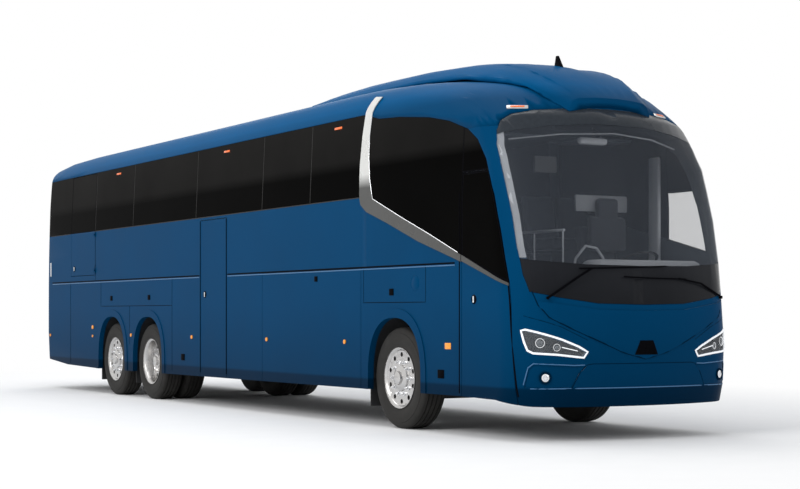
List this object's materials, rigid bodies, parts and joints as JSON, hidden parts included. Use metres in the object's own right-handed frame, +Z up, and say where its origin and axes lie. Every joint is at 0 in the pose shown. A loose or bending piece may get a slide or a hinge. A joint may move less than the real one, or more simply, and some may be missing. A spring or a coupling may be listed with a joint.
{
  "type": "three-axle touring coach bus",
  "caption": "Blue high-floor touring coach with opening doors, lifting luggage doors, steered front wheels and turning wheels",
  "frame": {"origin": "on the ground, at the middle of the bus in plan", "axes": "+Z up, +Y towards the rear along the bus, +X towards its left-hand side; the nose points along -Y"},
  "size_m": [2.5833, 14.088, 3.8098],
  "materials": {
    "blue_paint": "deep blue metallic coach paint, clear coated",
    "glass": "dark tinted bonded glass",
    "tyre": "black tyre rubber",
    "polished_aluminium": "polished forged aluminium",
    "cast_iron": "dark painted castings",
    "black_steel": "black painted steel",
    "dark_plastic": "dark grained plastic",
    "rubber": "black rubber",
    "floor_covering": "grey speckled floor covering on plywood",
    "seat_fabric": "dark grey woven upholstery",
    "chrome": "bright chrome",
    "lamp_glass": "clear lamp lens",
    "red_lens": "red lamp lens",
    "amber_lens": "amber lamp lens"
  },
  "bodies": {
    "coach": {"axles": "cast_iron", "chrome_bands": "chrome", "dashboard": "dark_plastic", "driver_platform": "floor_covering", "engine_block": "cast_iron", "floor": "floor_covering", "front_mask": "blue_paint", "front_stairs": "floor_covering", "handrails": "chrome", "head_lamp_units": "dark_plastic", "head_lamps": "lamp_glass", "luggage_racks": "dark_plastic", "marker_lamps": "amber_lens", "middle_stairs": "floor_covering", "mud_flaps": "rubber", "rear_wall": "blue_paint", "rear_window": "glass", "roof": "blue_paint", "roof_pod": "blue_paint", "seat_backs": "seat_fabric", "seats": "seat_fabric", "side_wall_left": "blue_paint", "side_wall_right": "blue_paint", "skirt_left": "blue_paint", "skirt_right": "blue_paint", "steering_wheel": "dark_plastic", "tail_lamps": "red_lens", "underframe": "black_steel", "wheel_housings": "dark_plastic", "windows_left": "glass", "windows_right": "glass", "windscreen": "glass", "wipers": "dark_plastic"},
    "steering_right": {"knuckle_right": "cast_iron"},
    "steering_left": {"knuckle_left": "cast_iron"},
    "front_wheel_right_body": {"front_tyre_right": "tyre", "front_wheel_right": "polished_aluminium"},
    "front_wheel_left_body": {"front_tyre_left": "tyre", "front_wheel_left": "polished_aluminium"},
    "drive_wheels_right_body": {"drive_tyre_right": "tyre", "drive_wheel_right": "polished_aluminium"},
    "drive_wheels_left_body": {"drive_tyre_left": "tyre", "drive_wheel_left": "polished_aluminium"},
    "tag_wheel_right_body": {"tag_tyre_right": "tyre", "tag_wheel_right": "polished_aluminium"},
    "tag_wheel_left_body": {"tag_tyre_left": "tyre", "tag_wheel_left": "polished_aluminium"},
    "front_door_arm_body": {"front_door_arm": "black_steel"},
    "front_door_body": {"front_door": "blue_paint", "front_door_glass": "glass", "front_door_chrome": "chrome"},
    "middle_door_arm_body": {"middle_door_arm": "black_steel"},
    "middle_door_body": {"middle_door": "blue_paint"},
    "emergency_door_body": {"emergency_door": "blue_paint", "emergency_door_glass": "glass"},
    "hold_door_right_arm_body": {"hold_door_right_arm": "black_steel"},
    "hold_door_right_body": {"hold_door_right": "blue_paint"},
    "hold_door_left_arm_body": {"hold_door_left_arm": "black_steel"},
    "hold_door_left_body": {"hold_door_left": "blue_paint"},
    "engine_lid_body": {"engine_lid": "blue_paint"}
  },
  "joints": [
    {"name": "steer_right", "type": "hinge", "parent": "coach", "child": "steering_right", "pos_m": [-0.925, -4.515, 0.522], "axis": [0, 0, 1], "range_deg": [-40, 40]},
    {"name": "steer_left", "type": "hinge", "parent": "coach", "child": "steering_left", "pos_m": [0.925, -4.515, 0.522], "axis": [0, 0, 1], "range_deg": [-40, 40]},
    {"name": "front_wheel_right_spin", "type": "hinge", "parent": "steering_right", "child": "front_wheel_right_body", "pos_m": [-1.08, -4.515, 0.522], "axis": [1, 0, 0], "continuous": true},
    {"name": "front_wheel_left_spin", "type": "hinge", "parent": "steering_left", "child": "front_wheel_left_body", "pos_m": [1.08, -4.515, 0.522], "axis": [1, 0, 0], "continuous": true},
    {"name": "drive_wheels_right_spin", "type": "hinge", "parent": "coach", "child": "drive_wheels_right_body", "pos_m": [-0.91, 2.39, 0.522], "axis": [1, 0, 0], "continuous": true},
    {"name": "drive_wheels_left_spin", "type": "hinge", "parent": "coach", "child": "drive_wheels_left_body", "pos_m": [0.91, 2.39, 0.522], "axis": [1, 0, 0], "continuous": true},
    {"name": "tag_wheel_right_spin", "type": "hinge", "parent": "coach", "child": "tag_wheel_right_body", "pos_m": [-1.08, 3.815, 0.522], "axis": [1, 0, 0], "continuous": true},
    {"name": "tag_wheel_left_spin", "type": "hinge", "parent": "coach", "child": "tag_wheel_left_body", "pos_m": [1.08, 3.815, 0.522], "axis": [1, 0, 0], "continuous": true},
    {"name": "front_door_swing", "type": "hinge", "parent": "coach", "child": "front_door_arm_body", "pos_m": [-1.16, -6.415, 1], "axis": [0, 0, 1], "range_deg": [0, 110]},
    {"name": "front_door_level", "type": "hinge", "parent": "front_door_arm_body", "child": "front_door_body", "pos_m": [-1.16, -5.865, 1], "axis": [0, 0, 1], "range_deg": [-110, 0]},
    {"name": "middle_door_swing", "type": "hinge", "parent": "coach", "child": "middle_door_arm_body", "pos_m": [-1.16, -0.122, 1], "axis": [0, 0, 1], "range_deg": [0, 110]},
    {"name": "middle_door_level", "type": "hinge", "parent": "middle_door_arm_body", "child": "middle_door_body", "pos_m": [-1.16, 0.428, 1], "axis": [0, 0, 1], "range_deg": [-110, 0]},
    {"name": "emergency_door_hinge", "type": "hinge", "parent": "coach", "child": "emergency_door_body", "pos_m": [-1.288, 4.539, 2.1], "axis": [0, 0, 1], "range_deg": [0, 95]},
    {"name": "hold_door_right_lift", "type": "hinge", "parent": "coach", "child": "hold_door_right_arm_body", "pos_m": [-1.16, -2.569, 1.35], "axis": [0, 1, 0], "range_deg": [0, 115]},
    {"name": "hold_door_right_level", "type": "hinge", "parent": "hold_door_right_arm_body", "child": "hold_door_right_body", "pos_m": [-1.16, -2.569, 0.75], "axis": [0, 1, 0], "range_deg": [-115, 0]},
    {"name": "hold_door_left_lift", "type": "hinge", "parent": "coach", "child": "hold_door_left_arm_body", "pos_m": [1.16, -2.569, 1.35], "axis": [0, -1, 0], "range_deg": [0, 115]},
    {"name": "hold_door_left_level", "type": "hinge", "parent": "hold_door_left_arm_body", "child": "hold_door_left_body", "pos_m": [1.16, -2.569, 0.75], "axis": [0, -1, 0], "range_deg": [-115, 0]},
    {"name": "engine_lid_hinge", "type": "hinge", "parent": "coach", "child": "engine_lid_body", "pos_m": [0, 7.036, 1.716], "axis": [1, 0, 0], "range_deg": [0, 80]}
  ],
  "couplings": [
    {"joint": "steer_left", "follows": "steer_right", "ratio": 1},
    {"joint": "front_door_level", "follows": "front_door_swing", "ratio": -1},
    {"joint": "middle_door_level", "follows": "middle_door_swing", "ratio": -1},
    {"joint": "hold_door_right_level", "follows": "hold_door_right_lift", "ratio": -1},
    {"joint": "hold_door_left_level", "follows": "hold_door_left_lift", "ratio": -1}
  ]
}
